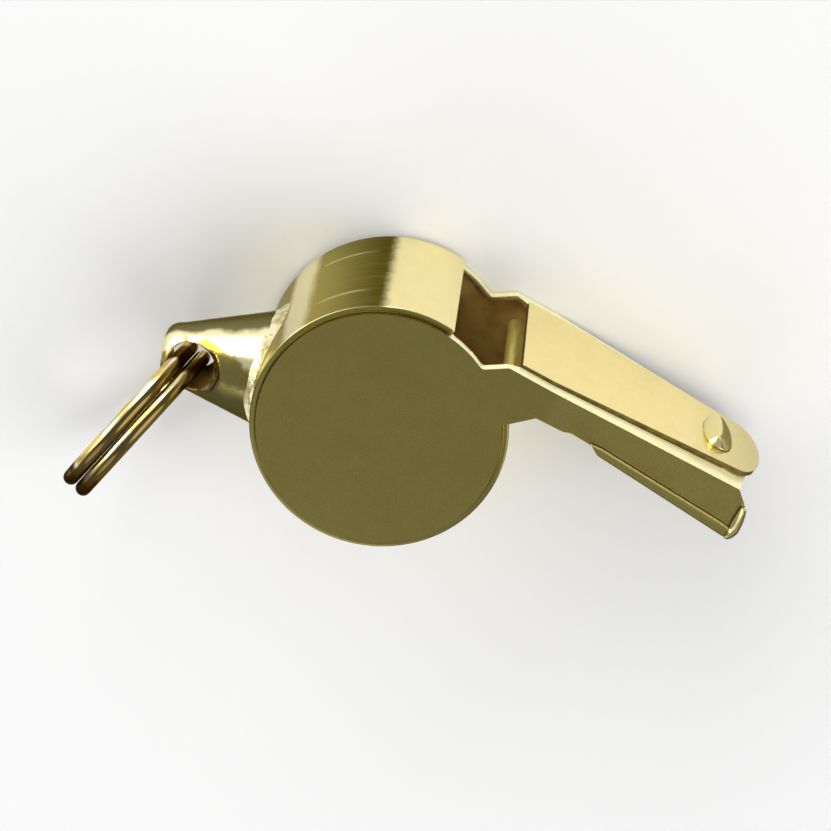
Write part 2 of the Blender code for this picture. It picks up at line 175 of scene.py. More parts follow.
# Split ring, with the wire's radius as a share of the full one at each distance from a cut end
RING_OUTER = 15.96 * MM
RING_WIRE = 1.3 * MM
RING_COIL_GAP = 0.06 * MM
RING_DROP = 0.12 * MM
RING_HEADING = math.radians(258.8)
RING_LEAN = math.radians(9.57)
RING_LAP = math.radians(300.0)
RING_START = math.radians(300.0)
RING_END_ROUND = ((0.0, 0.72), (0.05 * MM, 0.9), (0.16 * MM, 1.0))
RING_LIT_SIDE = (-0.95, 0.22, -0.22)
STREAKS_ALONG = 0.3
STREAKS_ROUND = 4.0

# Pea
PEA_RADIUS = 4.85 * MM
PEA_PLACE = Vector((-2.828, -3.371, 5.55)) * MM
PEA_LUMP = 0.1 * MM
PEA_LUMP_WAVES = 2.2
PEA_PIT = 0.5 * MM
PEA_PIT_WAVES = 7.0
PEA_PIT_START = 0.25

# Fineness of round stretches
ARC_STEP = math.radians(1.5)
SMALL_ARC_STEP = math.radians(8.0)
SHARP_ANGLE = math.radians(35.0)
BEND_ANGLE = math.radians(70.0)
BEND_SEGMENTS = 6
NOSE_STEPS = 30
CURVE_STEPS = 10
WELT_STEPS = 10
LUG_SIDES = 96
LUG_STEPS = 24
FLARE_STEPS = 8
TURN_STEPS = 128
FILLET_SIDES = 120
WIRE_SIDES = 20
RING_POINTS = 150

# Zones of the finishes, painted shade and painted highlight: millimetres along the mouthpiece, across the
# band and from an axis
HANDLED_ZONE = (22.0, 30.0)
BAND_SCRATCHES = (4.2, 13.2)
SCRATCH_WIDTH = (0.05, 0.3)
BARREL_RIM = (10.15, 10.3)
# Radii where the darker brown round the hole fades out.
HOLE_DARKENING = (2.5, 2.75)
LOBE_LENGTH = 3.5

# Scales of coordinates along each axis: brushed along or across the mouthpiece, or flattened
LENGTHWISE = (0.4, 5.0, 5.0)
CROSSWISE = (5.0, 5.0, 0.4)
SIDE_VIEW = (1.0, 1.0, 0.0)

# Zones of painted shade and painted light, and of scratches: degrees round the barrel from the boss, the
# top and the window
SHADE_WANDER = 3.5
REFLECTION_STRIP_START = (30.0, 36.0)
REFLECTION_STRIP_END = (44.0, 51.0)
SCRATCH_START = (50.0, 56.0)
SCRATCH_END = (68.0, 80.0)
SHADE_DEEPENING = (44.0, 84.0)
SHADE_END = (82.0, 88.0)
TOP_RIM = (52.0, 64.0)
WINDOW_RIM = (24.0, 28.0)

# Zones of painted shade and painted highlight: degrees round the boss from its front line towards the top
BOSS_WANDER = 24.0
BOSS_UNDER = (-16.0, 12.0)
BOSS_WARM = (24.0, 44.0)
BOSS_HIGHLIGHT_ZONE = (58.0, 67.0)
BOSS_FLANK = (72.0, 82.0)
LOBE_WIDENING = 9.0

# Colours of the brass, with darkened copies as painted shade and pale copies as painted highlight, and the
# tints of its reflections at the edge
WHITE = (1.0, 1.0, 1.0)
# Dims grazing reflections where painted shade is laid, and on the top plate's seam.
DARK_EDGE_TINT = (0.46, 0.43, 0.32)
SHEET_BRIGHT = (1.0, 0.84, 0.37)
SHEET_STAIN = (0.88, 0.71, 0.28)
SHEET_HANDLED = (0.55, 0.48, 0.17)
BAND_BRIGHT = (1.0, 0.87, 0.40)
BAND_STAIN = (0.86, 0.72, 0.30)
# Band: a painted reflection strip, painted shade on the boss side that deepens near the boss, and darker
# painted shade on outward cut edges.
BAND_REFLECTION_STRIP = (1.0, 0.88, 0.47)
BAND_SHADE = (0.66, 0.57, 0.22)
BAND_DEEP_SHADE = (0.12, 0.108, 0.04)
BAND_EDGE_SHADE = (0.10, 0.086, 0.028)
# Plate flats: darkened copies of the brass as painted shade; their grain, cloud and brown patches are real.
PLATE_SHADE = (0.28, 0.241, 0.070)
PLATE_SHADE_GRAIN = (0.26, 0.223, 0.066)
PLATE_SHADE_CLOUD = (0.216, 0.184, 0.051)
PLATE_BROWN = (0.275, 0.205, 0.06)
# Plate bends, flanges and the rim inside the band: painted shade, with a pale lit copy as painted highlight
# on flanges facing the top.
BEND_SHADE = (0.165, 0.142, 0.043)
BEND_SHADE_ABOVE = (0.19, 0.165, 0.05)
FLANGE_LIT = (1.0, 0.93, 0.51)
FLANGE_STAIN = (0.88, 0.76, 0.34)
FLANGE_SHADE = (0.20, 0.17, 0.05)
RIM_SHADE = (0.50, 0.43, 0.18)
# Boss: a pale painted highlight above, and painted shade on its upper flank and underside.
BOSS_HIGHLIGHT = (1.0, 0.91, 0.53)
BOSS_EDGE = (0.9, 0.85, 0.6)
BOSS_FLANK_SHADE = (0.20, 0.18, 0.08)
BOSS_UNDER_SHADE = (0.105, 0.095, 0.04)
HOLE_BROWN = (0.45, 0.29, 0.09)
EDGE_TONES = ((0.90, 0.80, 0.40), (0.66, 0.56, 0.24))
LIP_TONES = ((0.70, 0.58, 0.155), (0.52, 0.40, 0.085))

# Camera
CAMERA_TARGET = Vector((3.25, -0.742, 8.75)) * MM
CAMERA_DISTANCE = 330.946 * MM
CAMERA_AZIMUTH = math.radians(200.87)
CAMERA_ELEVATION = math.radians(67.514)
CAMERA_ROLL = math.radians(-170.708)
CAMERA_LENS = 173.29
CAMERA_CLIP = (0.01, 50.0)

# Floor, and light: softboxes by azimuth, elevation, spread and strength, and zones of the sky
GROUND_SIZE = 4.0
GROUND_DROP = 0.05 * MM
SOFTBOXES = {"softbox_mouth": (10.0, 45.0, 50.0, 1.45), "softbox_ring": (275.0, 40.0, 40.0, 0.45)}
SKY_LEVEL = 0.43
HORIZON = (0.05, 0.15)
WINDOW_AZIMUTH = math.radians(161.0)
WINDOW_LEVEL = 2.9
WINDOW_SIDES = (0.56, 0.66)
WINDOW_TOP = (0.54, 0.64)


def assign(thing, settings):
    for key, value in settings.items():
        setattr(thing, key, value)


class Nodes:
    """A node tree in the making."""

    def __init__(self, tree):
        self.tree = tree

    def fill(self, socket, value):
        """Set an input or link it."""
        if isinstance(value, bpy.types.NodeSocket):
            self.tree.links.new(value, socket)
        else:
            socket.default_value = value

    def add(self, kind, sockets=None, **settings):
        node = self.tree.nodes.new("ShaderNode" + kind)
        assign(node, settings)
        for key, value in (sockets or {}).items():
            self.fill(node.inputs[key], value)
        return node

    def math(self, operation, first, second=0.0):
        return self.add("Math", {0: first, 1: second}, operation=operation).outputs[0]

    def both(self, first, second):
        return self.math("MULTIPLY", first, second)

    def either(self, first, second):
        return self.math("MAXIMUM", first, second)

    def outside(self, mask):
        return self.math("SUBTRACT", 1.0, mask)

    def apart(self, first, second):
        return self.math("ABSOLUTE", self.math("SUBTRACT", first, second))

    def vector(self, operation, first, second=(0.0, 0.0, 0.0)):
        """A vector, or the value of a length or a dot product."""
        node = self.add("VectorMath", {0: first, 1: second}, operation=operation)
        return node.outputs["Value" if operation in ("LENGTH", "DOT_PRODUCT") else "Vector"]

    def axes(self, vector):
        return self.add("SeparateXYZ", {0: vector}).outputs

    def ramp(self, value, low, high, start=0.0, end=1.0):
        """A smooth step from start to end while the value runs from low to high."""
        sockets = {"Value": value, "From Min": low, "From Max": high, "To Min": start, "To Max": end}
        return self.add("MapRange", sockets, interpolation_type="SMOOTHSTEP").outputs[0]

    def mix(self, factor, first, second):
        return self.add("Mix", {0: factor, 2: first, 3: second}, data_type="FLOAT").outputs[0]

    def blend(self, factor, first, second):
        """A mix of two colours."""
        colours = []
        for colour in (first, second):
            colours.append(colour if isinstance(colour, bpy.types.NodeSocket) else (*colour, 1.0))
        return self.add("Mix", {0: factor, 6: colours[0], 7: colours[1]}, data_type="RGBA").outputs[2]


class Look(Nodes):
    """A surface material in the making, with its coordinates in millimetres."""

    def __init__(self, name):
        self.material = bpy.data.materials.new(name)
        self.material.use_nodes = True
        super().__init__(self.material.node_tree)
        self.shader = self.tree.nodes["Principled BSDF"]
        coords = self.add("TexCoord")
        self.normal = coords.outputs["Normal"]
        scaled = self.add("VectorMath", {0: coords.outputs["Object"], "Scale": 1.0 / MM}, operation="SCALE")
        self.place = scaled.outputs[0]

    def surface(self, base, roughness, normal=None, metallic=1.0, tint=None):
        """Fill in the surface shader and hand over the material."""
        values = {"Base Color": base, "Roughness": roughness, "Normal": normal}
        values.update({"Metallic": metallic, "Specular Tint": tint})
        for name, value in values.items():
            if value is not None:
                self.fill(self.shader.inputs[name], value)
        return self.material

    def stretched(self, scale):
        """Coordinates scaled differently along each axis."""
        return self.vector("MULTIPLY", self.place, scale)

    def around(self, along, across):
        """Coordinates round the barrel and across the band, each with its scale."""
        axes = self.axes(self.place)
        angle = self.math("ARCTAN2", axes["Y"], axes["X"])
        length = self.math("MULTIPLY", angle, along * BARREL_RADIUS / MM)
        width = self.math("MULTIPLY", axes["Z"], across)
        return self.add("CombineXYZ", {0: length, 1: width}).outputs[0]

    def spun(self, vector, angle):
        """Axes of a vector turned back about the barrel's axis."""
        sockets = {"Vector": vector, "Angle": -angle}
        return self.axes(self.add("VectorRotate", sockets, rotation_type="Z_AXIS").outputs[0])

    def turn_from(self, direction):
        """Degrees round the barrel from a direction, alike on both sides of it."""
        axes = self.spun(self.place, direction)
        angle = self.math("ARCTAN2", axes["Y"], axes["X"])
        return self.math("DEGREES", self.math("ABSOLUTE", angle))

    def on_boss(self):
        """Distance along the boss's axis, and degrees round it from its front line towards the top."""
        axes = self.spun(self.vector("SUBTRACT", self.place, (0.0, 0.0, MIDDLE / MM)), BOSS_ANGLE)
        upward = self.math("MULTIPLY", axes["Y"], -1.0)
        return axes["X"], self.math("DEGREES", self.math("ARCTAN2", upward, axes["Z"]))

    def noise(self, scale, detail=3.0, vector=None):
        sockets = {"Vector": vector or self.place, "Scale": scale, "Detail": detail}
        return self.add("TexNoise", sockets).outputs["Fac"]

    def wander(self, value, amount, scale, detail=4.0):
        """A value that strays with noise."""
        return self.math("ADD", value, self.math("MULTIPLY", self.noise(scale, detail), amount))

    def brushed(self, scale):
        """Noise drawn out by a scale along each axis."""
        return self.noise(1.0, 4.0, self.stretched(scale))

    def grained(self, grain, first, second):
        """Two tones of a grain: colours, or plain values."""
        share = self.ramp(grain, 0.3, 0.7)
        join = self.blend if isinstance(first, tuple) else self.mix
        return join(share, first, second)

    def haze(self, smooth, rough):
        """Roughness that comes and goes in soft patches."""
        return self.ramp(self.noise(2.0, 4.0), 0.3, 0.75, smooth, rough)

    def relief(self, *layers):
        """A surface raised by layers, each a pattern and its depth in millimetres."""
        normal = None
        for height, depth in layers:
            sockets = {"Height": height, "Distance": depth * MM, "Strength": 1.0}
            if normal:
                sockets["Normal"] = normal
            normal = self.add("Bump", sockets).outputs[0]
        return normal


def sheet_brass():
    """Polished sheet: faintly clouded, duller towards the mouth and scratched lengthwise."""
    look = Look("flat_sheet_brass")
    cloud = look.ramp(look.noise(0.5, 5.0), 0.4, 0.75, 0.0, 0.3)
    handled = look.ramp(look.axes(look.place)["X"], *HANDLED_ZONE, 0.0, 0.8)
    base = look.blend(handled, look.blend(cloud, SHEET_BRIGHT, SHEET_STAIN), SHEET_HANDLED)
    normal = look.relief((look.brushed(LENGTHWISE), 0.0008), (look.noise(0.6), 0.008))
    return look.surface(base, look.haze(0.16, 0.26), normal)


def band_painted_shade(look):
    """Masks of the painted shade round the boss, its painted reflection strip and its deeper part."""
    away = look.wander(look.turn_from(BOSS_ANGLE), SHADE_WANDER, 1.2)
    pale = look.both(look.ramp(away, *REFLECTION_STRIP_START), look.ramp(away, *REFLECTION_STRIP_END, 1.0, 0.0))
    # Painted shade over the band's side towards the boss, left out in the reflection strip and along
    # scratch lines.
    painted_shade = look.both(look.ramp(away, *SHADE_END, 1.0, 0.0), look.outside(pale))
    faint = look.both(look.ramp(away, *SCRATCH_START), look.ramp(away, *SCRATCH_END, 0.5, 0.0))
    across = look.axes(look.place)["Z"]
    for height in BAND_SCRATCHES:
        line = look.ramp(look.apart(across, height), *SCRATCH_WIDTH, 1.0, 0.0)
        painted_shade = look.both(painted_shade, look.outside(look.both(line, faint)))
    return painted_shade, pale, look.ramp(away, *SHADE_DEEPENING)


def band_edge(look):
    """Mask and colour of the band's cut edges in painted shade, left bright along the top as painted
    highlight.
    """
    facing = look.axes(look.normal)
    top = look.ramp(look.turn_from(TOP_RIM_ANGLE), *TOP_RIM, 1.0, 0.0)
    lit_towards_top = look.both(top, look.ramp(facing["Y"], 0.1, 0.3))
    upright = look.math("ABSOLUTE", facing["Z"])
    edge = look.ramp(upright, look.mix(lit_towards_top, 0.1, 0.8), look.mix(lit_towards_top, 0.4, 0.97))
    radial = look.stretched((MM / BARREL_RADIUS, MM / BARREL_RADIUS, 0.0))
    # Outward-facing cut edges away from the top get darker painted shade.
    outward = look.ramp(look.vector("DOT_PRODUCT", look.normal, radial), 0.2, 0.5)
    return edge, look.blend(look.both(outward, look.outside(top)), PLATE_SHADE, BAND_EDGE_SHADE)


def band_brass():
    """Polished, streaked band, with painted shade near the boss and on its cut edges, and a painted
    reflection strip.
    """
    look = Look("rolled_band_brass")
    painted_shade, pale, depth = band_painted_shade(look)
    edge, edge_colour = band_edge(look)
    streaks = look.noise(1.0, 4.0, look.around(0.15, 3.5))
    stain = look.ramp(look.noise(0.5, 4.0), 0.4, 0.8, 0.0, 0.3)
    bright = look.blend(pale, look.blend(stain, BAND_BRIGHT, BAND_STAIN), BAND_REFLECTION_STRIP)
    dark = look.blend(depth, BAND_SHADE, BAND_DEEP_SHADE)
    dark = look.blend(look.ramp(streaks, 0.45, 0.75, 0.0, 0.16), dark, BAND_STAIN)
    base = look.blend(edge, look.blend(painted_shade, bright, dark), edge_colour)
    rough = look.mix(painted_shade, look.haze(0.17, 0.25), 0.28)
    normal = look.relief((streaks, 0.001), (look.noise(0.8), 0.006))
    return look.surface(base, rough, normal, tint=look.blend(look.either(painted_shade, edge), WHITE, DARK_EDGE_TINT))


def boss_zones(look):
    """Masks of the boss's painted highlight above, warmer front, and painted shade on its flank and
    underside.
    """
    reach, turn = look.on_boss()
    turn = look.wander(turn, BOSS_WANDER, 0.5)
    off_waist = look.math("MINIMUM", look.apart(reach, BOSS_WAIST / MM), LOBE_LENGTH)
    lobes = look.math("ADD", turn, look.math("MULTIPLY", off_waist, LOBE_WIDENING))
    flank = look.ramp(turn, *BOSS_FLANK)
    under = look.ramp(turn, *BOSS_UNDER, 1.0, 0.0)
    return look.ramp(lobes, *BOSS_HIGHLIGHT_ZONE), look.ramp(turn, *BOSS_WARM), flank, under


def hole_zone(look):
    """Mask of the darkened hole, with an uneven edge."""
    offset = look.vector("SUBTRACT", look.place, HOLE_CENTRE / MM)
    away = look.vector("LENGTH", look.vector("MULTIPLY", offset, SIDE_VIEW))
    return look.ramp(look.wander(away, 1.0, 1.5, 3.0), *HOLE_DARKENING, 1.0, 0.0)


def boss_brass():
    """Turned boss: painted highlight above, painted shade on its flanks and underside, darkened in its
    hole.
    """
    look = Look("turned_boss_brass")
    painted_highlight, warm, flank, under = boss_zones(look)
    hole = hole_zone(look)
    patches = look.ramp(look.noise(0.55, 5.0), 0.5, 0.68, 0.0, 0.7)
    # By angle round the boss: olive painted shade below, warming to golden towards the painted highlight;
    # the brown patches are real.
    olive = look.blend(patches, (0.29, 0.25, 0.085), (0.24, 0.15, 0.04))
    golden = look.blend(patches, (0.46, 0.37, 0.07), (0.38, 0.24, 0.04))
    base = look.blend(painted_highlight, look.blend(warm, olive, golden), BOSS_HIGHLIGHT)
    base = look.blend(under, look.blend(flank, base, BOSS_FLANK_SHADE), BOSS_UNDER_SHADE)
    base = look.blend(hole, base, HOLE_BROWN)
    smooth = look.mix(under, look.ramp(patches, 0.0, 0.7, 0.15, 0.3), 0.42)
    normal = look.relief((look.noise(1.1, 4.0), 0.02), (look.noise(6.0), 0.0015))
    dark = look.either(look.either(flank, under), hole)
    tint = look.blend(dark, BOSS_EDGE, DARK_EDGE_TINT)
    return look.surface(base, look.mix(hole, smooth, 0.5), normal, tint=tint)


def lug_brass(name, tone_zone, painted_shade):
    """Bite lug and welts: plain on the barrel side, painted shade on the steep side towards the mouth."""
    look = Look(name)
    # Painted shade on faces turned towards the mouth.
    steep = look.ramp(look.wander(look.axes(look.normal)["X"], 0.1, 1.5, 3.0), 0.12, 0.28)
    normal = look.relief((look.noise(1.5), 0.01))
    tint = look.blend(steep, WHITE, DARK_EDGE_TINT)
    return look.surface(look.blend(steep, tone_zone, painted_shade), look.haze(0.15, 0.25), normal, tint=tint)


def plate_face(look, grain, cloud):
    """Colour of a plate's flats: a darkened copy of the brass as painted shade, finely grained, clouded and
    browned in patches.
    """
    painted_shade = look.grained(grain, PLATE_SHADE, PLATE_SHADE_GRAIN)
    painted_shade = look.blend(look.ramp(cloud, 0.4, 0.75, 0.0, 0.3), painted_shade, PLATE_SHADE_CLOUD)
    return look.blend(look.ramp(look.noise(0.8, 4.0), 0.46, 0.66, 0.0, 0.55), painted_shade, PLATE_BROWN)


def barrel_rim(look):
    """Mask of the plate's rim inside the band, away from the window, which is given painted shade."""
    away = look.vector("LENGTH", look.stretched(SIDE_VIEW))
    beyond = look.ramp(look.turn_from(WINDOW_ANGLE), *WINDOW_RIM)
    return look.both(look.ramp(away, *BARREL_RIM, 1.0, 0.0), beyond)


def plate_brass():
    """Pressed plate in painted shade: flats and bends dark, bends a little lighter and flanges painted
    bright towards the top.
    """
    look = Look("plate_brass_painted_shade")
    facing = look.axes(look.normal)
    upright = look.math("ABSOLUTE", facing["Z"])
    flat = look.ramp(upright, 0.972, 0.99)
    bend = look.ramp(upright, 0.15, 0.4)
    # Faces turned towards the top are painted lit, and the rest get painted shade.
    lit_towards_top = look.ramp(facing["Y"], 0.05, 0.35)
    rim = barrel_rim(look)
    grain = look.noise(7.0)
    cloud = look.noise(0.3, 4.0)
    flange = look.blend(look.ramp(cloud, 0.45, 0.8, 0.0, 0.4), FLANGE_LIT, FLANGE_STAIN)
    turned_in = look.blend(lit_towards_top, FLANGE_SHADE, look.blend(rim, flange, RIM_SHADE))
    side = look.blend(bend, turned_in, look.blend(lit_towards_top, BEND_SHADE, BEND_SHADE_ABOVE))
    base = look.blend(flat, side, plate_face(look, grain, cloud))
    rough = look.mix(flat, look.mix(lit_towards_top, 0.45, 0.24), look.grained(grain, 0.24, 0.28))
    normal = look.relief((look.brushed(LENGTHWISE), 0.001), (grain, 0.0005))
    hazy = look.both(lit_towards_top, look.outside(look.either(bend, rim)))
    tint = look.blend(lit_towards_top, DARK_EDGE_TINT, WHITE)
    return look.surface(base, rough, normal, look.mix(hazy, 1.0, 0.35), tint)


def brushed_brass(name, scale, tones, roughness, metallic):
    """Brushed brass in two tones, for cut edges and the windway's lip."""
    look = Look(name)
    grain = look.brushed(scale)
    base = look.grained(grain, *tones)
    return look.surface(base, look.grained(grain, *roughness), look.relief((grain, 0.004)), metallic)


def seam_brass():
    """Edges down in a seam, dark brown."""
    look = Look("seam_brass")
    grain = look.noise(2.0, 4.0)
    base = look.grained(grain, (0.17, 0.125, 0.035), (0.11, 0.08, 0.02))
    return look.surface(base, look.grained(grain, 0.45, 0.6), metallic=0.7, tint=(*DARK_EDGE_TINT, 1.0))


def tarnished_brass():
    """Inner faces: brown, rough and blotched."""
    look = Look("tarnished_inner_brass")
    blotch = look.ramp(look.noise(0.6, 5.0), 0.35, 0.7)
    base = look.blend(blotch, (0.62, 0.41, 0.11), (0.46, 0.28, 0.06))
    rough = look.grained(look.noise(2.0), 0.45, 0.65)
    return look.surface(base, rough, look.relief((look.noise(4.0, 4.0), 0.01)), metallic=0.2)


def solder_brass():
    """Hard solder: pale, lumpy and speckled with burnt flux."""
    look = Look("flowed_solder")
    spots = look.ramp(look.noise(2.2), 0.57, 0.66, 0.0, 0.8)
    flow = look.ramp(look.noise(0.7), 0.40, 0.66)
    base = look.blend(flow, (1.0, 0.92, 0.58), (0.56, 0.46, 0.16))
    base = look.blend(spots, base, (0.34, 0.21, 0.05))
    normal = look.relief((look.noise(1.1), 0.1), (look.noise(7.0), 0.006))
    return look.surface(base, look.ramp(spots, 0.0, 1.0, 0.2, 0.42), normal, metallic=0.85)


def ring_brass():
    """Drawn wire: a pale golden painted highlight on one side, painted shade on the other, darker brown at
    the far end.
    """
    look = Look("ring_wire_brass")
    far = look.add("Attribute", attribute_name="far").outputs["Fac"]
    drawn = look.noise(1.0, 3.0, look.add("Attribute", attribute_name="along").outputs["Vector"])
    # Darker brown towards the far end of the ring.
    tone_zone = look.ramp(look.wander(far, 0.3, 0.7), 0.74, 0.96)
    # The wire's side towards the lit direction gets a pale painted highlight, the other side painted shade.
    painted_highlight = look.ramp(look.vector("DOT_PRODUCT", look.normal, RING_LIT_SIDE), 0.12, 0.34)
    golden = look.ramp(look.noise(0.45), 0.42, 0.6)
    bright = look.blend(golden, (1.0, 0.95, 0.70), (0.90, 0.68, 0.22))
    lit_and_shaded = look.blend(painted_highlight, (0.165, 0.125, 0.043), bright)
    base = look.blend(look.ramp(drawn, 0.45, 0.62, 0.0, 0.8), lit_and_shaded, (0.16, 0.10, 0.03))
    base = look.blend(tone_zone, base, (0.065, 0.042, 0.014))
    tint = look.blend(painted_highlight, (0.30, 0.24, 0.11), (0.9, 0.8, 0.5))
    tint = look.blend(tone_zone, tint, (0.2, 0.15, 0.06))
    rough = look.ramp(tone_zone, 0.0, 1.0, 0.17, 0.42)
    return look.surface(base, rough, look.relief((drawn, 0.006)), tint=tint)


def cork_skin():
    """Cork: two browns, dark specks and a rough skin."""
    look = Look("cork_skin")
    grain = look.noise(1.2, 5.0)
    specks = look.add("TexVoronoi", {"Vector": look.place, "Scale": 1.6}).outputs["Distance"]
    base = look.grained(grain, (0.52, 0.34, 0.16), (0.36, 0.21, 0.09))
    base = look.blend(look.ramp(specks, 0.08, 0.25), (0.12, 0.06, 0.03), base)
    normal = look.relief((look.noise(3.0, 5.0), 0.06))
    return look.surface(base, look.grained(grain, 0.75, 0.95), normal, metallic=0.0)


def add_object(name, data):
    item = bpy.data.objects.new(name, data)
    bpy.context.scene.collection.objects.link(item)
    return item


def new_piece(name, mesh, body, node, slot, *materials):
    """An object on a moving body that is shown in place of a node of the frame."""
    for material in materials:
        mesh.materials.append(material)
    item = add_object(name, mesh)
    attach(item, body)
    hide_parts(node)
    return item


def to_mesh(shape, name):
    mesh = bpy.data.meshes.new(name)
    shape.to_mesh(mesh)
    shape.free()
    mesh.shade_smooth()
    return mesh


def solid_mesh(shape, name):
    bmesh.ops.recalc_face_normals(shape, faces=shape.faces)
    return to_mesh(shape, name)


def lofted(name, sections, capped=True):
    """A solid through closed loops of points, capped at both ends or running round into itself."""
    shape = bmesh.new()
    loops = [[shape.verts.new(point) for point in section] for section in sections]
    if capped:
        shape.faces.new(loops[0])
        shape.faces.new(loops[-1])
    else:
        loops.append(loops[0])
    for loop, following in zip(loops, loops[1:]):
        for index, vert in enumerate(loop):
            ahead = (index + 1) % len(loop)
            shape.faces.new((vert, loop[ahead], following[ahead], following[index]))
    return solid_mesh(shape, name)


def modify(item, kind, **settings):
    assign(item.modifiers.new(kind.lower(), kind), settings)


def thicken(item, thickness, offset=-1.0, inner=0, edge=0):
    modify(item, "SOLIDIFY", thickness=thickness, offset=offset, use_even_offset=True,
           material_offset=inner, material_offset_rim=edge)


def round_edges(item, width, segments, limit="ANGLE"):
    modify(item, "BEVEL", width=width, segments=segments, limit_method=limit, angle_limit=BEND_ANGLE)


def settle(item):
    """Apply an object's modifiers and even out its shading normals."""
    graph = bpy.context.evaluated_depsgraph_get()
    mesh = bpy.data.meshes.new_from_object(item.evaluated_get(graph))
    item.modifiers.clear()
    item.data = mesh
    mesh.set_sharp_from_angle(angle=SHARP_ANGLE)
    modify(item, "WEIGHTED_NORMAL", keep_sharp=True)


def apply_shape(item):
    """Apply an object's modifiers and leave it ready for more of them."""
    settle(item)
    item.modifiers.clear()


def between(first, last, share):
    return first + (last - first) * share


def polar(radius, angle):
    return radius * math.cos(angle), radius * math.sin(angle)


def arc(radius, start, end, centre=(0.0, 0.0), step=ARC_STEP):
    """Points on a circle from one angle to another, both ends included."""
    count = max(2, round(abs(end - start) / step))
    points = []
    for index in range(count + 1):
        x, y = polar(radius, between(start, end, index / count))
        points.append((centre[0] + x, centre[1] + y))
    return points


def turns(count):
    """Equal steps of angle once round."""
    return [2 * math.pi * index / count for index in range(count)]


def curve(first, pull, last, steps=CURVE_STEPS):
    """Points of a quadratic curve from first to last, drawn towards pull."""
    points = []
    for index in range(steps + 1):
        share = index / steps
        points.append(first * (1 - share) ** 2 + pull * 2 * share * (1 - share) + last * share ** 2)
    return points


def rounded_corner(before, corner, after, radius):
    """Points of an arc that replaces a corner between two straight lines."""
    corner = Vector(corner)
    back = (Vector(before) - corner).normalized()
    ahead = (Vector(after) - corner).normalized()
    half = back.angle(ahead) / 2
    centre = corner + (back + ahead).normalized() * radius / math.sin(half)
    first = corner + back * radius / math.tan(half) - centre
    last = corner + ahead * radius / math.tan(half) - centre
    start = math.atan2(first.y, first.x)
    sweep = math.remainder(math.atan2(last.y, last.x) - start, 2 * math.pi)
    return arc(radius, start, start + sweep, centre, abs(sweep) / BEND_SEGMENTS)


def arm_half_width(x):
    return MIDDLE - ARM_TAPER * max(0.0, x - ARM_BEND_X)


def flange_half_width(x):
    return MIDDLE - RIM_DEPTH - FLANGE_TAPER * max(0.0, x - ARM_BEND_X)


def channel_bottom(x):
    return ARM_TOP - CHANNEL_DROP - CHANNEL_SLOPE * (x - CHANNEL_START_X)


def channel_reach(x):
    """Half the width over the channel's walls."""
    return arm_half_width(x) + LAP_GAP + CHANNEL_SHEET


def arm_bottom(x):
    return channel_bottom(x) + CHANNEL_SHEET + LAP_GAP


def top_half_width(x):
    """Half the width of the top plate, straight-sided up to its rounded mouth end."""
    half = flange_half_width(min(x, TOP_NOSE_X)) - LAP_GAP
    share = max(0.0, x - TOP_NOSE_X) / TOP_NOSE_LENGTH
    return half * math.sqrt(max(0.0, 1.0 - share * share))


def plate_outline():
    """Corners of a side plate, each with the depth of the rim that is turned in there."""
    barrel = arc(RIM_RADIUS, LIP_ANGLE, THROAT_ANGLE + 2 * math.pi)
    arm_under = [
        (ARM_BEND_X, THROAT_Y),
        (THROAT_END_X, THROAT_Y),
        (STEP_END_X, arm_bottom(STEP_END_X)),
        (ARM_NOSE_X, arm_bottom(ARM_NOSE_X)),
        (ARM_NOSE_X, NOSE_Y),
    ]
    arm_top = [(ARM_END_X, ARM_TOP), (WINDOW_EDGE_X, ARM_TOP)]
    shoulder = (SHOULDER_X, ARM_TOP)
    notch = polar(RIM_RADIUS, SHOULDER_ANGLE)
    beyond = SHOULDER_ANGLE + SHOULDER_REACH
    window = rounded_corner(arm_top[-1], shoulder, notch, SHOULDER_ROUND)
    window += rounded_corner(shoulder, notch, polar(RIM_RADIUS, beyond), SHOULDER_ROUND)
    window += arc(RIM_RADIUS, beyond, LIP_ANGLE)[:-1]
    corners = barrel + arm_under + arm_top + window
    depths = [RIM_DEPTH] * len(barrel) + [0.0] * len(arm_under)
    depths += [RIM_DEPTH] * len(arm_top) + [WINDOW_RIM_DEPTH] * len(window)
    return corners, depths


def plate_sheet(face_z, inward):
    """A side plate's flat sheet with its rims turned in, each bend with its share of the full bend."""
    shape = bmesh.new()
    rim_depth = shape.verts.layers.float.new("rim_depth")
    bend_share = shape.edges.layers.float.new("bevel_weight_edge")
    outline = []
    for (x, y), depth in zip(*plate_outline()):
        vert = shape.verts.new((x, y, face_z))
        vert[rim_depth] = depth
        outline.append(vert)
    shape.faces.new(outline)
    rim_edges = []
    for vert, following in zip(outline, outline[1:] + outline[:1]):
        if vert[rim_depth] and following[rim_depth]:
            edge = shape.edges.get((vert, following))
            on_barrel = vert.co.y < ARM_TOP - SEAM_GAP and vert[rim_depth] > WINDOW_RIM_DEPTH + SEAM_GAP
            edge[bend_share] = RIM_BEND_SHARE if on_barrel else 1.0
            rim_edges.append(edge)
    for element in bmesh.ops.extrude_edge_only(shape, edges=rim_edges)["geom"]:
        if isinstance(element, bmesh.types.BMVert):
            element.co.z += inward * element[rim_depth]
        elif isinstance(element, bmesh.types.BMEdge):
            element[bend_share] = 0.0
    return shape


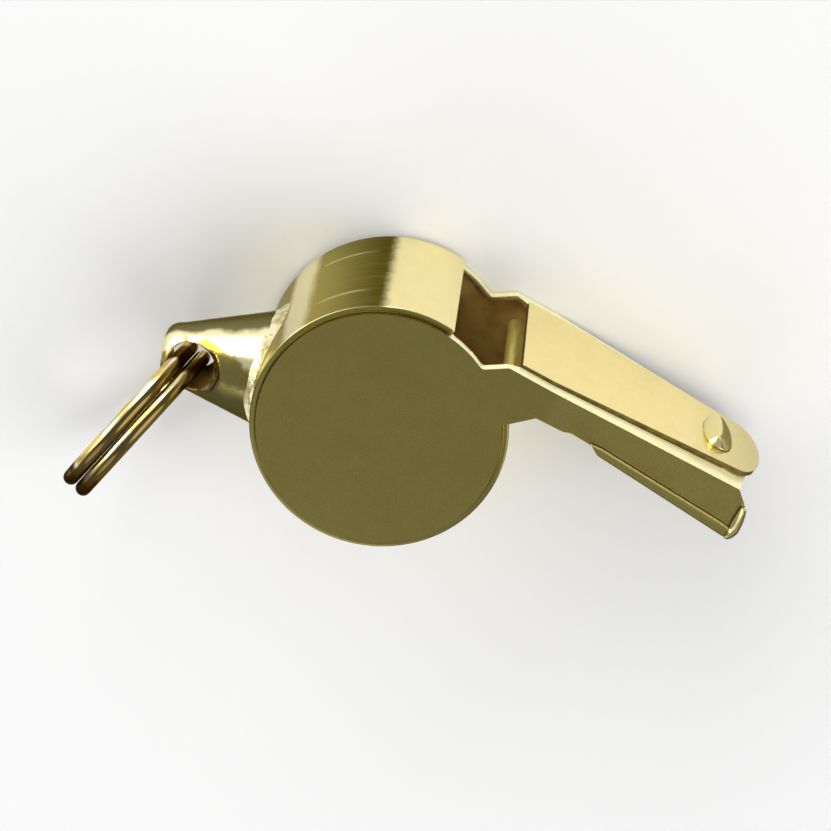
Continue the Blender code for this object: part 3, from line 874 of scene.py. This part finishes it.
def taper_arm(shape, face_z, inward):
    """Bend a plate's arm inwards, its flange a little more and falling towards the mouth."""
    for x in (ARM_BEND_X, ARM_BEND_X + ARM_BEND_RUN):
        everything = shape.verts[:] + shape.edges[:] + shape.faces[:]
        bmesh.ops.bisect_plane(shape, geom=everything, plane_co=(x, 0, 0), plane_no=(1, 0, 0))
    for vert in shape.verts:
        run = max(0.0, vert.co.x - ARM_BEND_X)
        depth = abs(vert.co.z - face_z) / RIM_DEPTH
        vert.co.z += inward * run * between(ARM_TAPER, FLANGE_TAPER, depth)
        if run and vert.co.y > ARM_TOP - FLANGE_FALL:
            vert.co.y -= FLANGE_FALL * (1.0 - depth) * run / (ARM_END_X - ARM_BEND_X)


def face_outwards(shape, inward):
    bmesh.ops.recalc_face_normals(shape, faces=shape.faces)
    largest = max(shape.faces, key=lambda face: face.calc_area())
    if largest.normal.z * inward > 0:
        bmesh.ops.reverse_faces(shape, faces=shape.faces)


def reach_tip(mesh):
    """Draw the flange's inner edge at the mouth on along the top plate's rounded end."""
    shape = bmesh.new()
    shape.from_mesh(mesh)
    start = TOP_NOSE_X - FLANGE_TIP_LEAD
    lowest = ARM_TOP - FLANGE_FALL - PLATE_BEND
    for index in range(FLANGE_TIP_POINTS):
        x = between(start, ARM_END_X, index / FLANGE_TIP_POINTS)
        faces = [face for face in shape.faces if face.calc_center_median().y > lowest]
        edges = list(dict.fromkeys(edge for face in faces for edge in face.edges))
        verts = list(dict.fromkeys(vert for face in faces for vert in face.verts))
        bmesh.ops.bisect_plane(shape, geom=verts + edges + faces, plane_co=(x, 0, 0), plane_no=(1, 0, 0))
    for vert in shape.verts:
        x = vert.co.x
        outer = arm_half_width(x)
        depth = (outer - abs(vert.co.z - MIDDLE)) / (outer - flange_half_width(x))
        if x > start and depth > 0 and vert.co.y > lowest:
            run = FLANGE_TIP_RUN * max(0.0, (x - TOP_NOSE_X) / (ARM_END_X - TOP_NOSE_X))
            lap = FLANGE_TIP_LAP * min(1.0, (x - start) / FLANGE_TIP_LEAD)
            inner = top_half_width(x + run) + LAP_GAP - lap
            vert.co.x += run * depth
            vert.co.z = MIDDLE + math.copysign(between(outer, inner, depth), vert.co.z - MIDDLE)
    shape.to_mesh(mesh)
    shape.free()


def side_plate(name, node, face_z, inward, *materials):
    """A pressed plate: flat disc and arm in one sheet, its rim and arm top turned in."""
    shape = plate_sheet(face_z, inward)
    taper_arm(shape, face_z, inward)
    face_outwards(shape, inward)
    plate = new_piece(name, to_mesh(shape, name), "whistle", node, "satin_brass", *materials)
    round_edges(plate, PLATE_BEND, BEND_SEGMENTS, limit="WEIGHT")
    apply_shape(plate)
    reach_tip(plate.data)
    thicken(plate, PLATE_SHEET, inner=1, edge=2)
    round_edges(plate, CUT_EDGE_ROUND, segments=2)
    settle(plate)


def strip_mesh(name, points, half_width):
    """A sheet that follows a side-view line, reaching as far each way as half_width says."""
    shape = bmesh.new()
    rows = []
    for x, y in points:
        reach = half_width(x)
        rows.append([shape.verts.new((x, y, MIDDLE + side * reach)) for side in (-1, 1)])
    for first, second in zip(rows, rows[1:]):
        shape.faces.new((first[0], first[1], second[1], second[0]))
    return to_mesh(shape, name)


def barrel_band(*materials):
    """Band rolled round the barrel from the throat to the lip of the window."""
    points = arc(BARREL_RADIUS, THROAT_ANGLE + 2 * math.pi, LIP_ANGLE)
    mesh = strip_mesh("band_rolled", points, lambda x: BAND_WIDTH / 2)
    band = new_piece("band_rolled", mesh, "whistle", "barrel_band", "polished_brass", *materials)
    thicken(band, BAND_WALL, inner=1)
    round_edges(band, BAND_EDGE_ROUND, segments=4)
    settle(band)


def windway_floor(*materials):
    """Sheet on the barrel's throat that turns over in a rolled lip and runs on under the windway."""
    middle = BARREL_RADIUS - FLOOR_SHEET / 2
    start = THROAT_ANGLE + (SEAM_GAP + LAP_GAP) / BARREL_RADIUS
    apron = arc(middle, start, FLOOR_TURN_ANGLE)
    nose_centre = polar(middle + FLOOR_NOSE_RADIUS, FLOOR_TURN_ANGLE)
    down = FLOOR_TURN_ANGLE + math.pi
    up = math.pi / 2 - math.atan(FLOOR_SLOPE)
    nose = arc(FLOOR_NOSE_RADIUS, down, up, nose_centre, SMALL_ARC_STEP)
    top_x, top_y = nose[-1]
    end_x = CHANNEL_START_X + CHANNEL_LEAD - LAP_GAP
    run = [(x, top_y - FLOOR_SLOPE * (x - top_x)) for x in (ARM_BEND_X, end_x)]

    def half_width(x):
        return arm_half_width(x) - PLATE_SHEET - SEAM_GAP

    mesh = strip_mesh("windway_sheet", apron + nose[1:] + run, half_width)
    floor = new_piece("windway_sheet", mesh, "whistle", "windway_floor", "polished_brass", *materials)
    thicken(floor, FLOOR_SHEET, offset=0.0)
    settle(floor)


def top_seat():
    """Where the top plate and its lug sit: tilted a little, at the window's edge."""
    place = (WINDOW_EDGE_X, ARM_TOP + TOP_PROUD, MIDDLE)
    return Matrix.LocRotScale(place, Euler((0.0, 0.0, TOP_TILT)), None)


def top_plate(*materials):
    """Tapered plate let in between the arms' flanges, with a rounded mouth end and dark long edges."""
    stations = [WINDOW_EDGE_X, ARM_BEND_X, TOP_NOSE_X]
    for index in range(1, NOSE_STEPS):
        stations.append(TOP_NOSE_X + TOP_NOSE_LENGTH * math.sin(math.pi / 2 * index / NOSE_STEPS))
    side = [(x - WINDOW_EDGE_X, top_half_width(x)) for x in stations]
    outline = side + [(TOP_LENGTH, 0.0)] + [(x, -z) for x, z in reversed(side)]
    shape = bmesh.new()
    seat = top_seat()
    sheet = shape.faces.new([shape.verts.new(seat @ Vector((x, 0.0, z))) for x, z in outline])
    sheet.normal_update()
    if sheet.normal.y < 0:
        sheet.normal_flip()
    mesh = to_mesh(shape, "mouth_top")
    plate = new_piece("mouth_top", mesh, "whistle", "mouthpiece_top_plate", "polished_brass", *materials)
    thicken(plate, TOP_SHEET)
    round_edges(plate, TOP_EDGE_ROUND, segments=3)
    settle(plate)
    clean_end = WINDOW_EDGE_X + TOP_LENGTH - TOP_NOSE_LENGTH / 4
    for face in plate.data.polygons:
        if abs(face.normal.y) < EDGE_FACING and face.center.x < clean_end:
            face.material_index = 1


def lug_loop(share):
    """Points round the lug at a share of the way up: a rounded rectangle that shrinks to the ridge."""
    length = between(LUG_LENGTH, LUG_RIDGE_LENGTH, share)
    width = between(LUG_WIDTH, LUG_RIDGE_WIDTH, share)
    middle = between(LUG_LENGTH / 2, LUG_RIDGE_PLACE, share)
    height = LUG_HEIGHT * math.sin(math.pi / 2 * share) ** SWELL_POWER
    points = []
    for turn in turns(LUG_SIDES):
        level, across = polar(1.0, turn)
        x = math.copysign(abs(level) ** LUG_SQUARENESS, level) * length / 2
        z = math.copysign(abs(across) ** LUG_SQUARENESS, across) * width / 2
        points.append(Vector((middle + x, height, z)))
    return points


def bite_lug(*materials):
    """Low tooth: a rounded swelling that rises to a ridge across the plate, steep towards the mouth."""
    seat = top_seat() @ Matrix.Translation((LUG_PLACE, SEAM_GAP, 0.0))
    shares = [step / LUG_STEPS for step in range(LUG_STEPS + 1)]
    sections = [[seat @ point for point in lug_loop(share)] for share in shares]
    mesh = lofted("tooth_lug", sections)
    new_piece("tooth_lug", mesh, "whistle", "bite_lug", "polished_brass", *materials)


def cheek_front():
    """The curved front edge of a cheek, from the channel's bottom up to its top."""
    low = Vector((CHEEK_CORNER_X, channel_bottom(CHEEK_CORNER_X)))
    bottom = Vector((CHEEK_FRONT_X - CHEEK_LEAN / 2, channel_bottom(CHEEK_FRONT_X)))
    bulge = Vector((CHEEK_FRONT_X, channel_bottom(CHEEK_FRONT_X) + CHEEK_RISE))
    above = Vector((CHEEK_FRONT_X, bulge.y + CHEEK_RISE))
    high = Vector((CHEEK_FRONT_X - CHEEK_LEAN, ARM_TOP - CHEEK_DROP))
    return curve(low, bottom, bulge) + curve(bulge, above, high)[1:]


def cheek_back():
    """The inner edge of the welt along a cheek's front, from the ledge up to the cheek's top."""
    low = Vector((CHEEK_CORNER_X, channel_bottom(CHEEK_CORNER_X) + WELT_START))
    bend = Vector((CHEEK_BACK_X, channel_bottom(CHEEK_BACK_X) + CHEEK_RISE))
    high = Vector((CHEEK_BACK_X, ARM_TOP - CHEEK_DROP))
    return curve(low, bend, high, 2 * CURVE_STEPS)


def cheek_welt(side):
    """A rolled welt that fills a cheek between its two edges."""
    sections = []
    for back, front in zip(cheek_back(), cheek_front()):
        section = []
        for step in range(WELT_STEPS + 1):
            share = step / WELT_STEPS
            x, y = between(back, front, share)
            swell = WELT_HEIGHT * math.sin(math.pi * share * share) ** SWELL_POWER
            section.append((x, y, MIDDLE + side * (channel_reach(x) - WELT_SINK + swell)))
        for x, y in (front, back):
            section.append((x, y, MIDDLE + side * (channel_reach(x) - CHANNEL_SHEET)))
        sections.append(section)
    mesh = lofted("welt", sections)
    for face in mesh.polygons:
        face.material_index = WELT_MATERIAL
    return mesh


def join_meshes(item, meshes):
    """Add finished meshes to an object's own."""
    whole = bmesh.new()
    whole.from_mesh(item.data)
    for mesh in meshes:
        whole.from_mesh(mesh)
        bpy.data.meshes.remove(mesh)
    whole.to_mesh(item.data)
    whole.free()


def channel_mesh():
    """The channel's bottom and two walls as one thin sheet."""
    start_x = CHANNEL_START_X + CHANNEL_LEAD
    ledge_x = CHANNEL_START_X + LEDGE_RISE
    edge = [
        (start_x, channel_bottom(start_x)),
        (CHEEK_CORNER_X, channel_bottom(CHEEK_CORNER_X)),
        (CHEEK_CORNER_X, channel_bottom(CHEEK_CORNER_X) + WELT_START),
        (LEDGE_END_X, channel_bottom(LEDGE_END_X) + LEDGE_RISE),
        (ledge_x, channel_bottom(CHANNEL_START_X) + CHANNEL_SHEET + CHANNEL_BEND),
        (CHANNEL_START_X, channel_bottom(CHANNEL_START_X) + 2 * CHANNEL_SHEET),
    ]
    shape = bmesh.new()
    walls = []
    for side in (-1, 1):
        walls.append([shape.verts.new((x, y, MIDDLE + side * channel_reach(x))) for x, y in edge])
        shape.faces.new(walls[-1])
    back, near = walls
    shape.faces.new((back[0], near[0], near[1], back[1]))
    return solid_mesh(shape, "mouth_channel")


def lower_channel(*materials):
    """Channel lapped over the arms' lower edges, its cheeks at the mouth edged with a rolled welt."""
    mesh = channel_mesh()
    channel = new_piece("mouth_channel", mesh, "whistle", "mouthpiece_channel", "satin_brass", *materials)
    round_edges(channel, CHANNEL_BEND, BEND_SEGMENTS)
    thicken(channel, CHANNEL_SHEET, inner=1, edge=2)
    apply_shape(channel)
    round_edges(channel, LEDGE_ROUND, segments=3)
    apply_shape(channel)
    join_meshes(channel, [cheek_welt(-1), cheek_welt(1)])
    channel.data.shade_smooth()
    settle(channel)


def boss_radius(reach):
    return BOSS_SLOPE * (BOSS_APEX - reach)


def boss_frame():
    """From the boss's own axes, with Z along its axis, to the object's."""
    return Matrix.LocRotScale((0.0, 0.0, MIDDLE), Euler((0.0, math.pi / 2, BOSS_ANGLE)), None)


def turned(name, profile, place):
    """A turned solid with flat ends from a profile of radius and height."""
    sections = []
    for radius, height in profile:
        sections.append([place @ Vector((*polar(radius, turn), height)) for turn in turns(TURN_STEPS)])
    return lofted(name, sections)


def cut(item, mesh):
    """Cut a turned shape out of a piece for good."""
    cutter = add_object(mesh.name, mesh)
    modify(item, "BOOLEAN", operation="DIFFERENCE", solver="EXACT", object=cutter)
    apply_shape(item)
    bpy.data.objects.remove(cutter, do_unlink=True)
    bpy.data.meshes.remove(mesh)


def hole_profile():
    """Profile of the boss's hole, flared at both ends and longer than the boss is wide."""
    surface = boss_radius(HOLE_PLACE)
    mouth = HOLE_RADIUS + HOLE_FLARE
    flare = [(mouth, 2 * surface)]
    for index in range(FLARE_STEPS + 1):
        height, radius = polar(1.0, math.pi / 2 * index / FLARE_STEPS)
        flare.append((mouth - HOLE_FLARE * radius, surface - HOLE_FLARE_DEPTH * (1.0 - height)))
    return flare + [(radius, -height) for radius, height in reversed(flare)]


def ring_boss(*materials):
    """Cone with a rounded tip, hollowed to sit on the barrel and drilled across for the ring."""
    shoulder = BOSS_TIP - BOSS_TIP_ROUND
    crown = boss_radius(shoulder) - BOSS_TIP_ROUND
    profile = arc(BOSS_TIP_ROUND, math.pi / 2, 0.0, (crown, shoulder), SMALL_ARC_STEP)
    profile.append((boss_radius(BOSS_ROOT), BOSS_ROOT))
    mesh = turned("boss_turned", profile, boss_frame())
    boss = new_piece("boss_turned", mesh, "whistle", "ring_boss", "polished_brass", *materials)

    seat = BARREL_RADIUS + SEAM_GAP
    cut(boss, turned("barrel_cutter", [(seat, WIDTH), (seat, 0.0)], Matrix.Identity(4)))
    cut(boss, turned("hole_cutter", hole_profile(), Matrix.Translation(HOLE_CENTRE)))

    modify(boss, "REMESH", mode="VOXEL", voxel_size=BOSS_VOXEL, use_smooth_shade=True)
    modify(boss, "SMOOTH", factor=0.5, iterations=BOSS_SMOOTHING)
    settle(boss)
    boss.data.shade_smooth()


def boss_foot(turn):
    """How far out along its axis the boss meets the barrel, at an angle round that axis."""
    reach = BARREL_RADIUS
    for _ in range(FOOT_ROUNDS):
        reach = math.sqrt(BARREL_RADIUS ** 2 - (boss_radius(reach) * math.sin(turn)) ** 2)
    return reach


def near_cone(turn, reach, lift):
    """A point off the boss's cone, in the boss's own axes."""
    return Vector((*polar(boss_radius(reach) + lift, turn), reach))


def near_barrel(turn, outward, lift):
    """A point off the barrel, so far outward from the boss's foot, in the boss's own axes."""
    radius = boss_radius(boss_foot(turn))
    across = math.sin(turn)
    angle = math.asin(radius * across / BARREL_RADIUS) + outward * across / BARREL_RADIUS
    height, side = polar(BARREL_RADIUS + lift, angle)
    return Vector(((radius + outward) * math.cos(turn), side, height))


def fillet_section(turn):
    """The solder's hollow face from the cone down to the barrel, and its root inside them."""
    foot = boss_foot(turn)
    spot = Vector((*polar(FILLET_WAVES, turn), 0.0))
    rise = FILLET_HEIGHT + FILLET_HEIGHT_WAVE * noise.noise(spot)
    spread = FILLET_SPREAD + FILLET_SPREAD_WAVE * noise.noise(spot + FILLET_OTHER_WAVES)
    top = near_cone(turn, foot + rise, FILLET_SKIN)
    hollow = near_cone(turn, foot + FILLET_HOLLOW, FILLET_HOLLOW)
    face = curve(top, hollow, near_barrel(turn, spread, FILLET_SKIN))
    low_root = near_barrel(turn, 0.0, -FILLET_SINK)
    return face + [low_root, near_cone(turn, foot + rise - FILLET_ROOT, -FILLET_SINK)]


def boss_fillet(*materials):
    """Collar of solder, drawn up the cone and out over the barrel in an uneven line."""
    place = boss_frame()
    sections = [[place @ point for point in fillet_section(turn)] for turn in turns(FILLET_SIDES)]
    mesh = lofted("boss_solder", sections, capped=False)
    collar = new_piece("boss_solder", mesh, "whistle", "boss_solder_fillet", "brazing_brass", *materials)
    settle(collar)


def ring_path():
    """Centre line of the split ring: two flat laps joined by one step across."""
    radius = (RING_OUTER - RING_WIRE) / 2
    centre = radius + RING_DROP
    pitch = RING_WIRE + RING_COIL_GAP
    cross = 2 * math.pi - RING_LAP
    total = 2 * RING_LAP + cross
    path = []
    for index in range(RING_POINTS + 1):
        turn = total * index / RING_POINTS
        share = min(1.0, max(0.0, (turn - RING_LAP) / cross))
        side = share * share * (3 - 2 * share) - 0.5
        x, y = polar(radius, RING_START + turn)
        path.append(Vector((centre + x, y, pitch * side)))
    return path


def ring_stations():
    """Points along the ring with the wire's direction and radius, rounded over at the cut ends."""
    path = ring_path()
    half = RING_WIRE / 2
    ways = []
    for index in range(RING_POINTS + 1):
        ways.append((path[min(index + 1, RING_POINTS)] - path[max(index - 1, 0)]).normalized())
    head = [(path[0] + ways[0] * shift, ways[0], half * share) for shift, share in RING_END_ROUND]
    tail = [(path[-1] - ways[-1] * shift, ways[-1], half * share) for shift, share in RING_END_ROUND]
    middle = [(point, way, half) for point, way in zip(path[1:-1], ways[1:-1])]
    return head + middle + tail[::-1]


def split_ring(*materials):
    """Round wire swept along the ring, marked with how far out and how far along each point lies."""
    heading = Euler((math.pi / 2 + RING_LEAN, 0.0, RING_HEADING))
    place = Matrix.LocRotScale(HOLE_CENTRE, heading, None)
    stations = ring_stations()
    sections = []
    far = []
    along = []
    length = 0.0
    previous = stations[0][0]
    for point, way, radius in stations:
        length += (point - previous).length
        previous = point
        side = Vector((0.0, 0.0, 1.0)).cross(way).normalized()
        up = way.cross(side)
        section = []
        for turn in turns(WIRE_SIDES):
            level, rise = polar(1.0, turn)
            section.append(place @ (point + (side * level + up * rise) * radius))
            far.append(point.x / RING_OUTER)
            along += [length / MM * STREAKS_ALONG, STREAKS_ROUND * level, STREAKS_ROUND * rise]
        sections.append(section)
    mesh = lofted("ring_wire", sections)
    mesh.attributes.new("far", "FLOAT", "POINT").data.foreach_set("value", far)
    mesh.attributes.new("along", "FLOAT_VECTOR", "POINT").data.foreach_set("vector", along)
    ring = new_piece("ring_wire", mesh, "ring", "split_ring", "ring_brass", *materials)
    settle(ring)


def cork_pea(*materials):
    """Cork ball with an uneven, pitted skin."""
    shape = bmesh.new()
    bmesh.ops.create_icosphere(shape, subdivisions=5, radius=PEA_RADIUS)
    for vert in shape.verts:
        way = vert.co.normalized()
        lump = PEA_LUMP * (0.5 + 0.5 * noise.noise(way * PEA_LUMP_WAVES))
        pit = PEA_PIT * max(0.0, noise.noise(way * PEA_PIT_WAVES) - PEA_PIT_START)
        vert.co = PEA_PLACE + way * (PEA_RADIUS - lump - pit)
    mesh = solid_mesh(shape, "pea_cork")
    new_piece("pea_cork", mesh, "pea", "cork_pea", "cork", *materials)


def floor():
    """A wide pale floor just under the whistle."""
    look = Look("pale_floor")
    base = look.blend(look.noise(0.02), (0.85, 0.85, 0.85), (0.87, 0.87, 0.87))
    look.fill(look.shader.inputs["Specular IOR Level"], 0.0)
    shape = bmesh.new()
    bmesh.ops.create_grid(shape, x_segments=1, y_segments=1, size=GROUND_SIZE)
    mesh = to_mesh(shape, "floor")
    mesh.materials.append(look.surface(base, 1.0, metallic=0.0))
    item = add_object("floor", mesh)
    item.location.z = -GROUND_DROP


def direction(azimuth, elevation):
    return Vector((*polar(math.cos(elevation), azimuth), math.sin(elevation)))


def softbox(name, azimuth, elevation, spread, strength):
    """A distant round softbox, placed by where it stands in the sky."""
    data = bpy.data.lights.new(name, "SUN")
    data.angle = math.radians(spread)
    data.energy = strength
    item = add_object(name, data)
    way = direction(math.radians(azimuth), math.radians(elevation))
    item.rotation_euler = way.to_track_quat("Z", "Y").to_euler()


def sky():
    """A dim studio overhead, a white horizon, and a wide low window on the ring's side."""
    world = bpy.data.worlds.new("studio")
    world.use_nodes = True
    nodes = Nodes(world.node_tree)
    way = nodes.add("TexCoord").outputs["Generated"]
    height = nodes.axes(way)["Z"]
    sideways = nodes.vector("DOT_PRODUCT", way, direction(WINDOW_AZIMUTH, 0.0))
    wide = nodes.ramp(sideways, *WINDOW_SIDES, 0.0, WINDOW_LEVEL)
    window = nodes.both(wide, nodes.ramp(height, *WINDOW_TOP, 1.0, 0.0))
    overhead = nodes.ramp(height, *HORIZON, 1.0, SKY_LEVEL)
    background = world.node_tree.nodes["Background"]
    nodes.fill(background.inputs["Strength"], nodes.math("ADD", overhead, window))
    nodes.fill(background.inputs["Color"], (*WHITE, 1.0))
    bpy.context.scene.world = world


def camera():
    """The photograph's view; the azimuth counts from -Y."""
    data = bpy.data.cameras.new("camera")
    data.lens = CAMERA_LENS
    data.clip_start, data.clip_end = CAMERA_CLIP
    item = add_object("camera", data)
    away = direction(CAMERA_AZIMUTH - math.pi / 2, CAMERA_ELEVATION)
    turn = away.to_track_quat("Z", "Y").to_matrix() @ Matrix.Rotation(CAMERA_ROLL, 3, "Z")
    item.matrix_world = Matrix.Translation(CAMERA_TARGET + away * CAMERA_DISTANCE) @ turn.to_4x4()
    bpy.context.scene.camera = item
    bpy.context.scene.view_settings.view_transform = "Standard"


def visual_box(names):
    """Least and greatest corner of the finished pieces."""
    graph = bpy.context.evaluated_depsgraph_get()
    points = []
    for name in names:
        item = bpy.data.objects[name]
        points += [item.matrix_world @ vert.co for vert in item.evaluated_get(graph).data.vertices]
    return [[pick(point[axis] for point in points) for axis in range(3)] for pick in (min, max)]


def main():
    plate = plate_brass()
    inner = tarnished_brass()
    edge = brushed_brass("brushed_edge_brass", (3.0, 3.0, 3.0), EDGE_TONES, (0.36, 0.46), 1.0)
    side_plate("plate_front", "front_side_plate", WIDTH, -1, plate, inner, edge)
    side_plate("plate_back", "back_side_plate", 0.0, 1, plate, inner, edge)
    barrel_band(band_brass(), inner)
    windway_floor(brushed_brass("windway_lip_brass", CROSSWISE, LIP_TONES, (0.3, 0.4), 0.5))
    top_plate(sheet_brass(), seam_brass())
    # Lug and welt colours: plain brass on the barrel side, painted shade on the side towards the mouth.
    bite_lug(lug_brass("bite_lug_brass", (0.88, 0.76, 0.34), (0.42, 0.365, 0.15)))
    welt = lug_brass("cheek_welt_brass", (0.58, 0.50, 0.21), (0.16, 0.14, 0.05))
    lower_channel(plate, inner, edge, welt)
    ring_boss(boss_brass())
    boss_fillet(solder_brass())
    split_ring(ring_brass())
    cork_pea(cork_skin())

    floor()
    sky()
    for name, settings in SOFTBOXES.items():
        softbox(name, *settings)
    camera()


main()
PIECES = ("plate_front", "plate_back", "band_rolled", "windway_sheet", "mouth_top", "tooth_lug",
          "mouth_channel", "boss_turned", "boss_solder", "ring_wire", "pea_cork")
{"cad": [list(map(float, corner)) for corner in CAD_BOX], "visual": visual_box(PIECES)}
